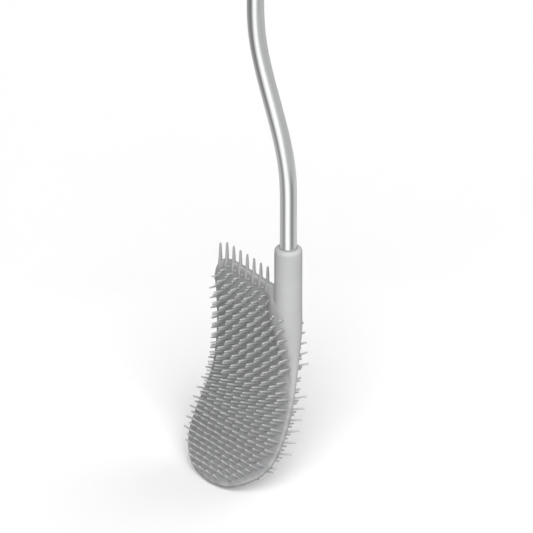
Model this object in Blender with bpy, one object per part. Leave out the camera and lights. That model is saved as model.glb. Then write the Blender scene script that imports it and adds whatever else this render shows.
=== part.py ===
"""Toilet brush with a curled paddle head that unscrews from an S-bent steel tube and hangs by its end cap.

World frame: metres, +Z up, origin where the hook touches the top of the hanging eye. The handle hangs straight
down the Z axis, the socket axis runs beside it, and the blade spans X with its front face towards -Y.
Lengths below are in millimetres, measured from the socket mouth: z up the socket axis, t down the blade's
surface from its top edge, n forward from the blade's middle surface.
"""

import math

import bmesh
import bpy
from mathutils import Vector

MM = 0.001
GAP = 0.3  # clearance kept between neighbouring pieces

# where the mouth of the socket sits in the world
MOUTH_BELOW_HOOK = 300.0
BEND_OFFSET = 26.6

# shaft tube
TUBE_RADIUS = 4.5
TUBE_WALL = 0.8
TUBE_BOTTOM = -10.0
TUBE_TOP = 283.7
BEND_START = 35.0
BEND_END = 123.0
TUBE_SIDES = 16
BEND_STEPS = 12

# screw joint between shaft and head
THREAD_PITCH = 3.0
THREAD_ROOT = 3.0
THREAD_CREST = 3.9
THREAD_CLEARANCE = 0.35
# one turn of the thread's profile: share of the pitch, share of the way from root to crest
THREAD_PROFILE = ((0.0, 0), (0.3, 0), (0.5, 1), (0.8, 1))
THREAD_LEAD = 1.2  # length of the stud's tapered tip
THREAD_TOP = -10.9
THREAD_BOTTOM = -24.6
STUD_SHANK_RADIUS = TUBE_RADIUS - TUBE_WALL - GAP
STUD_SHANK_TOP = 10.0
STUD_COLLAR_RADIUS = 4.3
INSERT_RADIUS = 4.9
INSERT_TOP = -11.3
INSERT_BOTTOM = -27.0
PIN_RADIUS = 1.2
STUD_PIN_HEIGHT = -5.0
THREAD_SIDES = 20

# socket, neck and seal
SOCKET_RADIUS = 7.4
SOCKET_BORE = 6.4
LIP_RADIUS = 4.9
LIP_DEPTH = 1.5
BORE_BOTTOM = -44.0
SEAL_CENTRE = -2.45
SEAL_RING_RADIUS = 5.5
SEAL_CORD_RADIUS = 0.6
CORE_TUBE_TOP = -3.4
CORE_TUBE_WALL = 0.9
CORE_FLOOR = 1.5
ROUND_SIDES = 32
# rounding of the mouth's edge: how much smaller than the socket, height
MOUTH_ROUNDING = ((1.9, 0.0), (0.9, -0.35), (0.25, -1.1), (0.0, -2.0))
# the core's web reaches from its plate into the cup: x and z
WEB_LEFT = -12.0
WEB_RIGHT = -5.6
WEB_TOP = -30.0
WEB_BOTTOM = BORE_BOTTOM + 2.0
# neck sections below the socket: height, middle x, half width, half thickness
NECK_SECTIONS = (
    (-44, 0.0, 7.4, 7.4), (-51, 0.3, 6.9, 6.6), (-58, 1.0, 5.7, 5.2),
    (-65, 1.9, 4.3, 3.8), (-72, 2.7, 2.7, 2.4), (-78, 3.2, 1.6, 1.3),
)
NECK_SHIFT_BACK = 0.8

# blade surface: flat at the top, curling forward below CURL_START, and slightly crowned from side to side
BLADE_TOP = -25.5
CURL_START = 38.0
CURL_RATE = 0.31
CURL_POWER = 1.1
CURL_STEP = 0.5
CROWN_CENTRE = -24.0
CROWN_HALF_WIDTH = 35.0
CROWN_DEPTH = 2.0
RIM_HALF_THICKNESS = 1.6
RIM_EDGE_FLAT = 0.9
RIM_CHAMFER = 0.8
RIM_WIDTH = 2.6
CORE_HALF_THICKNESS = 0.5
PAD_BACK = 0.8
PAD_FRONT = 1.5

# blade outline as seen from the front, laid flat: x, t
OUTLINE = (
    (-20, 0), (-36, 0), (-49, 0.4), (-57.5, 4.6), (-61.6, 13), (-60.9, 26), (-60.3, 45), (-60.7, 66),
    (-63.4, 83), (-65.0, 95), (-62.4, 108.5), (-53.6, 118.6), (-42, 124), (-29, 125.2), (-17, 122.7),
    (-6, 115.2), (1.4, 106.2), (4.6, 95), (5.2, 80), (4.9, 62), (3.8, 46), (3.2, 30), (3.0, 12), (-2, 0.4),
)
OUTLINE_STEPS = 3
NECK_MARGIN = 1.0  # width of the rim between the neck and the panels beside it
ROW_SPACING = 4.2
COLUMNS = 8

# bristles: the long ones of the two staggered sets
BRISTLE_PITCH_X = 6.0
BRISTLE_PITCH_T = 6.15
BRISTLE_FIRST_X = -57.0
BRISTLE_FIRST_T = 9.5
BRISTLE_LENGTH = 8.4
BRISTLE_TOP_LENGTH = 2.4
BRISTLE_FULL_AT = 26.0
BRISTLE_LOW_LENGTH = 6.6
BRISTLE_SHRINK_FROM = 92.0
BRISTLE_ROOT = 0.65
BRISTLE_TIP = 0.4
BRISTLE_SPLAY = math.radians(13)
BRISTLE_MARGIN = 1.0

# comb of stiff tines along the top edge
TINE_COUNT = 8
TINE_FIRST_X = -56.4
TINE_PITCH = 5.85
TINE_HALF_WIDTH = 0.6
TINE_HEIGHT = 9.2
TINE_FOOT = 6.2
# side view of a tine: n in front of the middle surface, distance below the edge
TINE_SHAPE = (
    (2.9, 5.3), (2.9, -0.5), (2.0, 0.6 - TINE_HEIGHT), (1.5, -TINE_HEIGHT), (1.0, 0.6 - TINE_HEIGHT),
    (-0.7, -1.3), (-0.7, -GAP), (1.9, -GAP), (1.9, TINE_FOOT),
)
COMB_BAR_END = 1.2  # how far the bar runs past the outermost tines
COMB_BAR_STATIONS = 16
COMB_BAR_FRONT = 1.0
COMB_BAR_HEIGHT = 1.0

# handle
GRIP_BOTTOM = 156.3
GRIP_TOP = 284.4
GRIP_BORE = TUBE_RADIUS + GAP
GRIP_CORE_RADIUS = 6.8
# the sleeve's radius is SLEEVE_WAIST + SLEEVE_SWELL * a part of a sine wave, less SLEEVE_TAPER towards the top
SLEEVE_WAIST = 8.8
SLEEVE_SWELL = 2.4
SLEEVE_TAPER = 0.4
SLEEVE_WAVE = (0.12, 0.7)  # start and length of that part, in half waves
SLEEVE_ROUNDING = 0.8
SLEEVE_LOW_END = 8.2
SLEEVE_HIGH_END = 9.0
SLEEVE_STEPS = 10
SLEEVE_SIDES = 24
COLLAR_BOTTOM = 149.0
COLLAR_RADIUS = 7.8
COLLAR_CHAMFER = 1.0
CAP_BOTTOM = 284.7
CAP_PLUG_BOTTOM = 262.0
CAP_PIN_HEIGHT = 271.0
CAP_DOME = ((9.0, 0.0), (9.6, 0.7), (9.4, 2.4), (7.6, 5.2), (4.6, 7.2))  # radius, height above the cap's bottom
EYE_CENTRE = 295.0
EYE_HOLE = 5.0
EYE_OUTER = 9.0
EYE_HALF_THICKNESS = 2.5
EYE_SIDES = 40
EYE_CUTTER_MARGIN = 8.0  # how far the eye's cutter stands out of its plate, so that it clears the dome

SOFT_GREY = ((0.34, 0.34, 0.35), 0.62, 0.0)
HARD_GREY = ((0.24, 0.24, 0.25), 0.45, 0.0)
DARK_RUBBER = ((0.06, 0.06, 0.065), 0.7, 0.0)
STEEL = ((0.72, 0.73, 0.74), 0.18, 1.0)
BRASS = ((0.72, 0.56, 0.30), 0.3, 1.0)


def clear_scene():
    for obj in list(bpy.data.objects):
        bpy.data.objects.remove(obj, do_unlink=True)


def to_world(x, y, z):
    """A point measured from the socket mouth, in the world frame."""
    return Vector(((x + BEND_OFFSET) * MM, y * MM, (z - MOUTH_BELOW_HOOK) * MM))


def finish_of(name, look):
    colour, roughness, metallic = look
    material = bpy.data.materials.new(name)
    material.use_nodes = True
    shader = material.node_tree.nodes["Principled BSDF"]
    shader.inputs["Base Color"].default_value = (*colour, 1.0)
    shader.inputs["Roughness"].default_value = roughness
    shader.inputs["Metallic"].default_value = metallic
    return material


def add_object(name, points, faces, look=None, parent=None):
    """A mesh from points in mouth millimetres. Its faces are turned outwards."""
    mesh = bpy.data.meshes.new(name)
    mesh.from_pydata([to_world(*point) for point in points], [], faces)
    work = bmesh.new()
    work.from_mesh(mesh)
    bmesh.ops.recalc_face_normals(work, faces=work.faces)
    work.to_mesh(mesh)
    work.free()
    mesh.shade_smooth()
    mesh.set_sharp_from_angle(angle=math.radians(40))
    obj = bpy.data.objects.new(name, mesh)
    bpy.context.scene.collection.objects.link(obj)
    if look is None:
        obj.hide_render = True
        obj.display_type = "WIRE"
    else:
        mesh.materials.append(finish_of(name + "_finish", look))
    obj.parent = parent
    return obj


def add_empty(name, location, parent=None):
    empty = bpy.data.objects.new(name, None)
    bpy.context.scene.collection.objects.link(empty)
    empty.location = location
    empty.parent = parent
    return empty


def combine(target, tool, operation):
    modifier = target.modifiers.new(operation.lower(), "BOOLEAN")
    modifier.operation = operation
    modifier.object = tool
    modifier.solver = "EXACT"


def loops_to_solid(loops, closed):
    """Faces between successive loops of points: joined end to end when closed, else capped."""
    count = len(loops[0])
    points = [point for loop in loops for point in loop]
    faces = []
    spans = len(loops) if closed else len(loops) - 1
    for i in range(spans):
        a = i * count
        b = ((i + 1) % len(loops)) * count
        for j in range(count):
            k = (j + 1) % count
            faces.append((a + j, a + k, b + k, b + j))
    if not closed:
        last = (len(loops) - 1) * count
        faces.append(tuple(reversed(range(count))))
        faces.append(tuple(range(last, last + count)))
    return points, faces


def ring_points(radius_x, radius_y, z, sides, x=0.0, y=0.0):
    turn = 2 * math.pi / sides
    return [(x + radius_x * math.cos(i * turn), y + radius_y * math.sin(i * turn), z) for i in range(sides)]


def turned(name, profile, look=None, parent=None, sides=ROUND_SIDES, x=0.0, hollow=False):
    """A turned piece: a list of (radius, z). A hollow one joins its last ring back to its first."""
    loops = [ring_points(radius, radius, z, sides, x=x) for radius, z in profile]
    return add_object(name, *loops_to_solid(loops, hollow), look=look, parent=parent)


def box(name, low, high):
    corners = [(x, y, z) for z in (low[2], high[2]) for x, y in (
        (low[0], low[1]), (high[0], low[1]), (high[0], high[1]), (low[0], high[1]))]
    return add_object(name, *loops_to_solid([corners[:4], corners[4:]], False))


def cross_pin(name, radius, half_length, x, z, look=None, parent=None, sides=12):
    """A round bar along Y."""
    turn = 2 * math.pi / sides
    loops = [
        [(x + radius * math.cos(i * turn), y, z + radius * math.sin(i * turn)) for i in range(sides)]
        for y in (-half_length, half_length)
    ]
    return add_object(name, *loops_to_solid(loops, False), look=look, parent=parent)


# the blade's surface ---------------------------------------------------------------------------------------


def curl_angle(t):
    return math.radians(CURL_RATE * max(t - CURL_START, 0.0) ** CURL_POWER)


def curl_table():
    """Height and depth of the blade's middle line, every CURL_STEP down its length."""
    y, z, t = 0.0, BLADE_TOP, 0.0
    rows = [(y, z)]
    while t < 130:
        angle = curl_angle(t + CURL_STEP / 2)
        y -= math.sin(angle) * CURL_STEP
        z -= math.cos(angle) * CURL_STEP
        t += CURL_STEP
        rows.append((y, z))
    return rows


CURL = curl_table()


def crown(x):
    return CROWN_DEPTH * ((x - CROWN_CENTRE) / CROWN_HALF_WIDTH) ** 2


def surface(x, t, n=0.0):
    """The point x across and t down the blade, n in front of its middle surface."""
    if t < 0:
        y, z = 0.0, BLADE_TOP - t
    else:
        place = t / CURL_STEP
        row = int(place)
        part = place - row
        y = CURL[row][0] * (1 - part) + CURL[row + 1][0] * part
        z = CURL[row][1] * (1 - part) + CURL[row + 1][1] * part
    angle = curl_angle(t)
    back = crown(x)
    point = Vector((x, y + back * math.cos(angle), z - back * math.sin(angle)))
    return point + front_normal(x, t) * n


def front_normal(x, t):
    angle = curl_angle(t)
    slope = 2 * CROWN_DEPTH * (x - CROWN_CENTRE) / CROWN_HALF_WIDTH ** 2
    return Vector((slope, -math.cos(angle), math.sin(angle))).normalized()


def smooth_loop(points, steps):
    """A closed Catmull-Rom curve through the points."""
    count = len(points)
    loop = []
    for i in range(count):
        a, b, c, d = (Vector(points[(i + k) % count]) for k in (-1, 0, 1, 2))
        for step in range(steps):
            u = step / steps
            loop.append(0.5 * (2 * b + (c - a) * u + (2 * a - 5 * b + 4 * c - d) * u * u
                               + (3 * b - a - 3 * c + d) * u ** 3))
    return loop


def ease(u):
    u = min(max(u, 0.0), 1.0)
    return u * u * (3 - 2 * u)


def neck_side(t):
    """The neck's left side at t, less its margin. Below the neck nothing is in the way."""
    z = BLADE_TOP - t
    sides = [(height, middle - half_width) for height, middle, half_width, _ in NECK_SECTIONS]
    if z >= sides[0][0]:
        return sides[0][1] - NECK_MARGIN
    for (high, a), (low, b) in zip(sides, sides[1:]):
        if z > low:
            return a + (b - a) * (high - z) / (high - low) - NECK_MARGIN
    return sides[-1][1] + (sides[-1][0] - z)


def inset_loop(loop, width):
    """The outline moved inwards, and kept clear of the neck."""
    count = len(loop)
    moved = []
    for i in range(count):
        along = (loop[(i + 1) % count] - loop[i - 1]).normalized()
        x, t = loop[i] + Vector((along.y, -along.x)) * width
        moved.append(Vector((min(x, neck_side(t) - width + RIM_WIDTH), max(t, width))))
    return moved


def edges_at(loop, t):
    """Where the loop crosses the height t: its left and right x."""
    found = []
    for i, a in enumerate(loop):
        b = loop[(i + 1) % len(loop)]
        if (a.y - t) * (b.y - t) < 0:
            found.append(a.x + (b.x - a.x) * (t - a.y) / (b.y - a.y))
    return min(found), max(found)


def panel_rows(loop):
    """Rows across the area inside a loop: t, left x, right x."""
    top = min(point.y for point in loop)
    bottom = max(point.y for point in loop)
    count = round((bottom - top) / ROW_SPACING)
    rows = []
    for i in range(count + 1):
        u = i / count
        t = top + (bottom - top) * (u + 0.12 * math.sin(math.pi * u) * u)
        t = min(max(t, top + 0.02), bottom - 0.25)
        rows.append((t, *edges_at(loop, t)))
    return rows


def panel(name, loop, back, front, look, parent):
    """A sheet of the blade's curve, from n = back to n = front, filling a loop."""
    points, faces = [], []
    rows = panel_rows(loop)
    for n in (back, front):
        for t, left, right in rows:
            points += [surface(left + (right - left) * j / COLUMNS, t, n) for j in range(COLUMNS + 1)]
    wide = COLUMNS + 1
    side = wide * len(rows)
    for i in range(len(rows) - 1):
        for j in range(COLUMNS):
            a = i * wide + j
            quad = (a, a + 1, a + wide + 1, a + wide)
            faces += [quad, tuple(side + k for k in reversed(quad))]
    border = [j for j in range(wide)]
    border += [i * wide + COLUMNS for i in range(1, len(rows))]
    border += [(len(rows) - 1) * wide + j for j in reversed(range(COLUMNS))]
    border += [i * wide for i in reversed(range(1, len(rows) - 1))]
    for a, b in zip(border, border[1:] + border[:1]):
        faces.append((a, a + side, b + side, b))
    return add_object(name, points, faces, look=look, parent=parent)


# shaft -----------------------------------------------------------------------------------------------------


def shaft_x(z):
    return -BEND_OFFSET * ease((z - BEND_START) / (BEND_END - BEND_START))


def make_tube(parent):
    bend = [BEND_START + (BEND_END - BEND_START) * i / BEND_STEPS for i in range(BEND_STEPS + 1)]
    heights = [TUBE_BOTTOM, *bend, TUBE_TOP]
    outer, inner = [], []
    for i, z in enumerate(heights):
        below, above = heights[max(i - 1, 0)], heights[min(i + 1, len(heights) - 1)]
        along = Vector((shaft_x(above) - shaft_x(below), 0, above - below)).normalized()
        if i in (0, len(heights) - 1):
            along = Vector((0, 0, 1))
        across = Vector((along.z, 0, -along.x))
        centre = Vector((shaft_x(z), 0, z))
        for ring, radius in ((outer, TUBE_RADIUS), (inner, TUBE_RADIUS - TUBE_WALL)):
            turn = 2 * math.pi / TUBE_SIDES
            ring.append([centre + across * radius * math.cos(k * turn) + Vector((0, radius * math.sin(k * turn), 0))
                         for k in range(TUBE_SIDES)])
    tube = add_object("shaft_tube", *loops_to_solid(outer + inner[::-1], True), look=STEEL, parent=parent)
    for name, x, z in (("stud_pin_hole", 0.0, STUD_PIN_HEIGHT), ("cap_pin_hole", -BEND_OFFSET, CAP_PIN_HEIGHT)):
        combine(tube, cross_pin(name, PIN_RADIUS + GAP, TUBE_RADIUS + 2, x, z), "DIFFERENCE")


def threaded_bar(name, grow, top, bottom):
    """A bar with a right-hand trapezoidal thread, larger by grow all round: four points to each turn of profile."""
    profile = [(part, THREAD_ROOT + (THREAD_CREST - THREAD_ROOT) * share + grow) for part, share in THREAD_PROFILE]
    first = math.floor(bottom / THREAD_PITCH) - 1
    last = math.ceil(top / THREAD_PITCH) + 1
    loops = []
    for turn in range(first, last):
        for part, radius in profile:
            loops.append([])
            for i in range(THREAD_SIDES + 1):
                angle = 2 * math.pi * i / THREAD_SIDES
                z = THREAD_PITCH * (turn + part + i / THREAD_SIDES)
                loops[-1].append((radius * math.cos(angle), radius * math.sin(angle), z))
    per_turn = len(profile)
    points, index = [], {}

    def vertex(row, i):
        if i == THREAD_SIDES:
            row, i = row + per_turn, 0
        if (row, i) not in index:
            index[row, i] = len(points)
            points.append(loops[row][i])
        return index[row, i]

    faces = []
    rows = len(loops) - per_turn
    for row in range(rows - 1):
        for i in range(THREAD_SIDES):
            faces.append((vertex(row, i), vertex(row, i + 1), vertex(row + 1, i + 1), vertex(row + 1, i)))
    for row in (0, rows - 1):
        rim = [vertex(row, i) for i in range(THREAD_SIDES)]
        step = [vertex(row + k, 0) for k in range(per_turn, 0, -1)]
        faces.append(tuple(rim + step))
    bar = add_object(name, points, faces)
    work = bmesh.new()
    work.from_mesh(bar.data)
    bmesh.ops.triangulate(work, faces=[face for face in work.faces if len(face.verts) > 4])
    work.to_mesh(bar.data)
    work.free()
    return bar


def make_stud(parent):
    stud = turned("thread_stud", (
        (THREAD_ROOT - 0.2, THREAD_TOP - 1.5),
        (THREAD_ROOT - 0.2, THREAD_TOP),
        (STUD_COLLAR_RADIUS, THREAD_TOP),
        (STUD_COLLAR_RADIUS, TUBE_BOTTOM - GAP),
        (STUD_SHANK_RADIUS, TUBE_BOTTOM - GAP),
        (STUD_SHANK_RADIUS, STUD_SHANK_TOP),
    ), look=HARD_GREY, parent=parent)
    thread = threaded_bar("male_thread", 0.0, THREAD_TOP, THREAD_BOTTOM)
    keep = turned("male_thread_ends", (
        (THREAD_ROOT - 0.4, THREAD_BOTTOM), (THREAD_CREST + 0.3, THREAD_BOTTOM + THREAD_LEAD), (THREAD_CREST + 0.3, THREAD_TOP + 0.3),
    ))
    combine(thread, keep, "INTERSECT")
    combine(stud, thread, "UNION")
    combine(stud, cross_pin("stud_shank_hole", PIN_RADIUS + GAP, TUBE_RADIUS + 2, 0.0, STUD_PIN_HEIGHT), "DIFFERENCE")
    cross_pin("stud_pin", PIN_RADIUS, TUBE_RADIUS - 0.05, 0.0, STUD_PIN_HEIGHT, look=STEEL, parent=parent)


def make_handle(parent):
    x = -BEND_OFFSET
    turned("grip_collar", (
        (GRIP_BORE, COLLAR_BOTTOM), (COLLAR_RADIUS - COLLAR_CHAMFER, COLLAR_BOTTOM), (COLLAR_RADIUS, COLLAR_BOTTOM + COLLAR_CHAMFER),
        (COLLAR_RADIUS, GRIP_BOTTOM - GAP), (GRIP_BORE, GRIP_BOTTOM - GAP),
    ), look=STEEL, parent=parent, x=x, hollow=True)
    turned("grip_core", (
        (GRIP_BORE, GRIP_BOTTOM), (GRIP_CORE_RADIUS, GRIP_BOTTOM), (GRIP_CORE_RADIUS, GRIP_TOP), (GRIP_BORE, GRIP_TOP),
    ), look=HARD_GREY, parent=parent, x=x, hollow=True, sides=SLEEVE_SIDES)
    bore = GRIP_CORE_RADIUS + GAP
    start, length = SLEEVE_WAVE
    straight = GRIP_TOP - GRIP_BOTTOM - 2 * SLEEVE_ROUNDING
    sleeve = [(bore, GRIP_BOTTOM), (SLEEVE_LOW_END, GRIP_BOTTOM)]
    for i in range(SLEEVE_STEPS + 1):
        u = i / SLEEVE_STEPS
        swell = SLEEVE_WAIST + SLEEVE_SWELL * math.sin(math.pi * (start + length * u)) - SLEEVE_TAPER * u
        sleeve.append((swell, GRIP_BOTTOM + SLEEVE_ROUNDING + straight * u))
    sleeve += [(SLEEVE_HIGH_END, GRIP_TOP), (bore, GRIP_TOP)]
    turned("grip_sleeve", sleeve, look=SOFT_GREY, parent=parent, x=x, hollow=True, sides=SLEEVE_SIDES)


def make_end_cap(parent):
    x = -BEND_OFFSET
    cap = turned("end_cap", (
        (STUD_SHANK_RADIUS, CAP_PLUG_BOTTOM), (STUD_SHANK_RADIUS, CAP_BOTTOM),
        *((radius, CAP_BOTTOM + height) for radius, height in CAP_DOME),
    ), look=HARD_GREY, parent=parent, x=x)
    turn = 2 * math.pi / EYE_SIDES
    for name, radius, depth, operation in (
        ("eye_plate", EYE_OUTER, EYE_HALF_THICKNESS, "UNION"),
        ("eye_hole", EYE_HOLE, EYE_HALF_THICKNESS + EYE_CUTTER_MARGIN, "DIFFERENCE"),
    ):
        loops = [
            [(x + radius * math.cos(i * turn), y, EYE_CENTRE + radius * math.sin(i * turn)) for i in range(EYE_SIDES)]
            for y in (-depth, depth)
        ]
        combine(cap, add_object(name, *loops_to_solid(loops, False)), operation)
    hole = cross_pin("cap_plug_hole", PIN_RADIUS + GAP, TUBE_RADIUS + 2, x, CAP_PIN_HEIGHT)
    combine(cap, hole, "DIFFERENCE")
    cross_pin("cap_pin", PIN_RADIUS, TUBE_RADIUS - 0.05, x, CAP_PIN_HEIGHT, look=STEEL, parent=parent)


# head ------------------------------------------------------------------------------------------------------


def make_seal(parent):
    sides, cord = 24, 8
    loops = []
    for i in range(sides):
        angle = 2 * math.pi * i / sides
        loops.append([])
        for k in range(cord):
            round_cord = 2 * math.pi * k / cord
            radius = SEAL_RING_RADIUS + SEAL_CORD_RADIUS * math.cos(round_cord)
            z = SEAL_CENTRE + SEAL_CORD_RADIUS * math.sin(round_cord)
            loops[-1].append((radius * math.cos(angle), radius * math.sin(angle), z))
    add_object("socket_seal", *loops_to_solid(loops, True), look=DARK_RUBBER, parent=parent)


def make_rim(parent, outline, inner):
    """The soft rim that frames the blade, moulded in one with the neck and the socket."""
    loops = []
    for outside, inside in zip(outline, inner):
        inward = (inside - outside).normalized() * RIM_CHAMFER
        shoulder = outside + inward
        loops.append([
            surface(*outside, RIM_EDGE_FLAT), surface(*shoulder, RIM_HALF_THICKNESS),
            surface(*inside, RIM_HALF_THICKNESS), surface(*inside, -RIM_HALF_THICKNESS),
            surface(*shoulder, -RIM_HALF_THICKNESS), surface(*outside, -RIM_EDGE_FLAT),
        ])
    rim = add_object("blade_rim", *loops_to_solid(loops, True), look=SOFT_GREY, parent=parent)
    sections = [ring_points(SOCKET_RADIUS - drop, SOCKET_RADIUS - drop, z, ROUND_SIDES)
                for drop, z in MOUTH_ROUNDING]
    for z, middle, half_width, half_thickness in NECK_SECTIONS:
        back = NECK_SHIFT_BACK * ease((NECK_SECTIONS[0][0] - z) / 25)
        sections.append(ring_points(half_width, half_thickness, z, ROUND_SIDES, x=middle, y=back))
    combine(rim, add_object("neck_solid", *loops_to_solid(sections, False)), "UNION")
    bore = turned("socket_bore", (
        (LIP_RADIUS, 2.0), (LIP_RADIUS, -LIP_DEPTH), (SOCKET_BORE, -LIP_DEPTH), (SOCKET_BORE, BORE_BOTTOM),
    ))
    combine(rim, bore, "DIFFERENCE")
    combine(rim, core_web("web_slot", GAP), "DIFFERENCE")


def core_web(name, grow):
    """The bridge of the core between its tube and its plate."""
    middle = surface(-SOCKET_RADIUS - NECK_MARGIN, 10).y
    half = CORE_HALF_THICKNESS + grow
    return box(name, (WEB_LEFT, middle - half, WEB_BOTTOM - grow), (WEB_RIGHT, middle + half, WEB_TOP + grow))


def make_core(parent, loop):
    core = panel("blade_core", loop, -CORE_HALF_THICKNESS, CORE_HALF_THICKNESS, HARD_GREY, parent)
    outer = SOCKET_BORE - GAP
    inner = outer - CORE_TUBE_WALL
    floor = BORE_BOTTOM + GAP
    cup = turned("core_cup", (
        (outer, floor), (outer, CORE_TUBE_TOP), (inner, CORE_TUBE_TOP), (inner, floor + CORE_FLOOR),
    ), sides=24)
    combine(core, core_web("core_web", 0.0), "UNION")
    combine(core, cup, "UNION")


def make_insert(parent):
    insert = turned("socket_insert", ((INSERT_RADIUS, INSERT_BOTTOM), (INSERT_RADIUS, INSERT_TOP)),
                    look=BRASS, parent=parent, sides=24)
    combine(insert, threaded_bar("female_thread", THREAD_CLEARANCE, INSERT_TOP + 2, INSERT_BOTTOM - 2), "DIFFERENCE")


def bristle_length(t):
    grown = BRISTLE_TOP_LENGTH + (BRISTLE_LENGTH - BRISTLE_TOP_LENGTH) * ease(t / BRISTLE_FULL_AT)
    shrunk = (BRISTLE_LENGTH - BRISTLE_LOW_LENGTH) * ease((t - BRISTLE_SHRINK_FROM) / 30)
    return grown - shrunk


def bristle_loops(x, t, side):
    """A square tapered bristle. It stands square to the surface and leans outwards near the blade's edges."""
    normal = front_normal(x, t) * side
    lean = BRISTLE_SPLAY * (x - CROWN_CENTRE) / CROWN_HALF_WIDTH
    direction = (normal * math.cos(lean) + Vector((1, 0, 0)) * math.sin(lean)).normalized()
    across = direction.cross(Vector((0, 0, 1))).normalized()
    upward = across.cross(direction)
    foot = surface(x, t, side * (PAD_FRONT - 0.3))
    loops = []
    for centre, size in ((foot, BRISTLE_ROOT), (foot + direction * (bristle_length(t) + 0.3), BRISTLE_TIP)):
        loops.append([centre + across * a * size + upward * b * size for a, b in ((-1, -1), (1, -1), (1, 1), (-1, 1))])
    return loops


def make_pad(name, loop, side, parent):
    """A soft sheet with its field of bristles, on the front (side 1) or the back (side -1)."""
    low, high = (PAD_BACK, PAD_FRONT) if side > 0 else (-PAD_FRONT, -PAD_BACK)
    pad = panel(name, loop, low, high, SOFT_GREY, parent)
    points, faces = [], []
    t = BRISTLE_FIRST_T
    lowest = max(point.y for point in loop)
    while t < lowest - BRISTLE_MARGIN:
        left, right = edges_at(loop, t)
        x = BRISTLE_FIRST_X
        while x < right - BRISTLE_MARGIN:
            if x > left + BRISTLE_MARGIN:
                more_points, more_faces = loops_to_solid(bristle_loops(x, t, side), False)
                faces += [tuple(k + len(points) for k in face) for face in more_faces]
                points += more_points
            x += BRISTLE_PITCH_X
        t += BRISTLE_PITCH_T
    combine(pad, add_object(name + "_bristles", points, faces), "UNION")


def top_edge(outline, x):
    """How far the outline lies below the top edge's level at x."""
    best = 0.0
    for i, a in enumerate(outline):
        b = outline[(i + 1) % len(outline)]
        if a.y < 12 and b.y < 12 and (a.x - x) * (b.x - x) <= 0 and a.x != b.x:
            best = max(best, a.y + (b.y - a.y) * (x - a.x) / (b.x - a.x))
    return best


def make_comb(parent, outline):
    """Stiff tines on a bar along the top edge. Each stands up from it and has a foot in front of the blade."""
    length = TINE_PITCH * (TINE_COUNT - 1) + 2 * COMB_BAR_END
    bar = []
    for i in range(COMB_BAR_STATIONS + 1):
        x = TINE_FIRST_X - COMB_BAR_END + length * i / COMB_BAR_STATIONS
        edge = top_edge(outline, x) - GAP - 0.1
        bar.append([surface(x, edge, -COMB_BAR_FRONT), surface(x, edge, COMB_BAR_FRONT),
                    surface(x, edge - COMB_BAR_HEIGHT, COMB_BAR_FRONT), surface(x, edge - COMB_BAR_HEIGHT, -COMB_BAR_FRONT)])
    comb = add_object("rim_comb", *loops_to_solid(bar, False), look=SOFT_GREY, parent=parent)
    points, faces = [], []
    for i in range(TINE_COUNT):
        x = TINE_FIRST_X + TINE_PITCH * i
        edge = top_edge(outline, x + TINE_HALF_WIDTH) - 0.1
        loops = [[surface(x, edge + down, n) + Vector((side * TINE_HALF_WIDTH, 0, 0)) for n, down in TINE_SHAPE]
                 for side in (-1, 1)]
        more_points, more_faces = loops_to_solid(loops, False)
        faces += [tuple(k + len(points) for k in face) for face in more_faces]
        points += more_points
    combine(comb, add_object("comb_tines", points, faces), "UNION")


def main():
    clear_scene()
    shaft = add_empty("shaft_frame", (0, 0, 0))
    make_tube(shaft)
    make_stud(shaft)
    make_handle(shaft)
    make_end_cap(shaft)

    head = add_empty("head_axis", (0, 0, 0))
    outline = smooth_loop(OUTLINE, OUTLINE_STEPS)
    field = inset_loop(outline, RIM_WIDTH + GAP)
    make_seal(head)
    make_rim(head, outline, inset_loop(outline, RIM_WIDTH))
    make_core(head, field)
    make_insert(head)
    make_pad("front_bristle_pad", field, 1, head)
    make_pad("rear_bristle_pad", field, -1, head)
    make_comb(head, outline)


main()
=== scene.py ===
import math

import bmesh
import bpy
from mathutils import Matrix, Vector
from mathutils.bvhtree import BVHTree
from mathutils.kdtree import KDTree


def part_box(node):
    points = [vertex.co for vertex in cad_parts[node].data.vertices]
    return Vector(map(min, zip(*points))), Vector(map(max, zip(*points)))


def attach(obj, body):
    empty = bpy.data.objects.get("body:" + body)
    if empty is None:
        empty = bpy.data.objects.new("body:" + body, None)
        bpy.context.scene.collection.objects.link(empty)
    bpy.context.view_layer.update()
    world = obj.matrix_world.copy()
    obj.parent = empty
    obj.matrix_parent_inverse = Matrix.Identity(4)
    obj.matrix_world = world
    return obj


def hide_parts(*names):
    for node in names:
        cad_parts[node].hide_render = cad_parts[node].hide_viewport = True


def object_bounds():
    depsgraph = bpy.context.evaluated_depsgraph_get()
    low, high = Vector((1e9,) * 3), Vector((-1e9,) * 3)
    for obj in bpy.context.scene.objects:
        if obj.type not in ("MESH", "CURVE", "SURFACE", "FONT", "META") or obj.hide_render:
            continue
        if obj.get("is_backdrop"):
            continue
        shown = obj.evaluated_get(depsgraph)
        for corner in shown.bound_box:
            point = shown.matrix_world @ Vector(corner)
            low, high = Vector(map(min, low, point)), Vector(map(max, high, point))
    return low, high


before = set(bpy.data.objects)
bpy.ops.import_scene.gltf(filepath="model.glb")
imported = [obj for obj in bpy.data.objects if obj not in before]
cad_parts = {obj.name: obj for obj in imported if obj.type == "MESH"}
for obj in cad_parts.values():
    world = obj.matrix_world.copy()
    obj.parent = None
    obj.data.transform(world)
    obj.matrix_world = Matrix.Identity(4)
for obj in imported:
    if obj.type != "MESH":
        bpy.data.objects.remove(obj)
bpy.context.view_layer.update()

# Lengths are in millimetres from the mouth of the socket: x across the blade, z up the socket's axis.
# On the blade, t runs down its middle surface and n stands out in front of it.
mm = 0.001
insertLow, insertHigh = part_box("socket_insert")
axisX = (insertLow[0] + insertHigh[0]) / 2
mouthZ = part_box("blade_rim")[1][2]
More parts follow.
